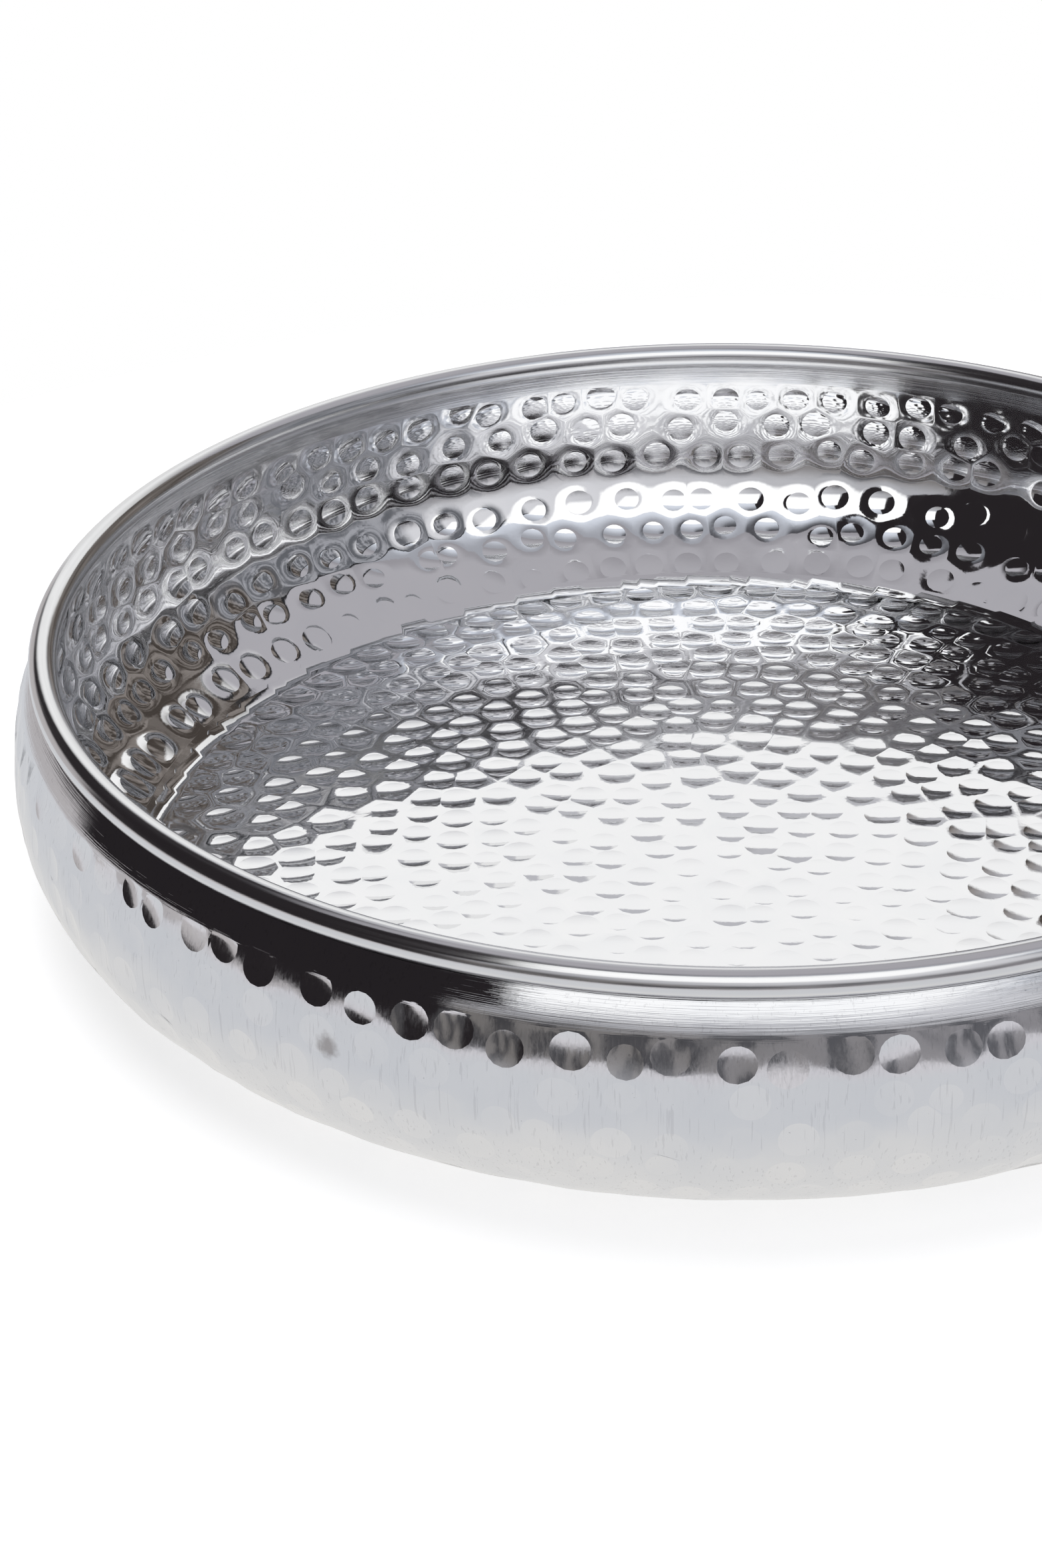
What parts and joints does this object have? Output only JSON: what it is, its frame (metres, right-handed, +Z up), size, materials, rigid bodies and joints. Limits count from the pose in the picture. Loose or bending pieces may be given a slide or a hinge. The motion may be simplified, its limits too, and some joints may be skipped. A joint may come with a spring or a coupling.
{
  "type": "decorative tray",
  "caption": "Round deep metal tray with a flat hammered floor, rounded hammered wall leaning in to a smooth neck, and a rolled wired rim.",
  "frame": {"origin": "centre of the flat underside, on the surface that the tray stands on", "axes": "+Z up along the tray's axis; X and Y are any two directions across it, because it is turned"},
  "size_m": [0.4, 0.4, 0.076],
  "materials": {
    "hammered_aluminium": "polished, hammered all over except the neck and rim",
    "steel_wire": "plain drawn wire, hidden in the rim"
  },
  "bodies": {
    "root": {"dish": "hammered_aluminium", "rim_wire": "steel_wire"}
  },
  "joints": []
}
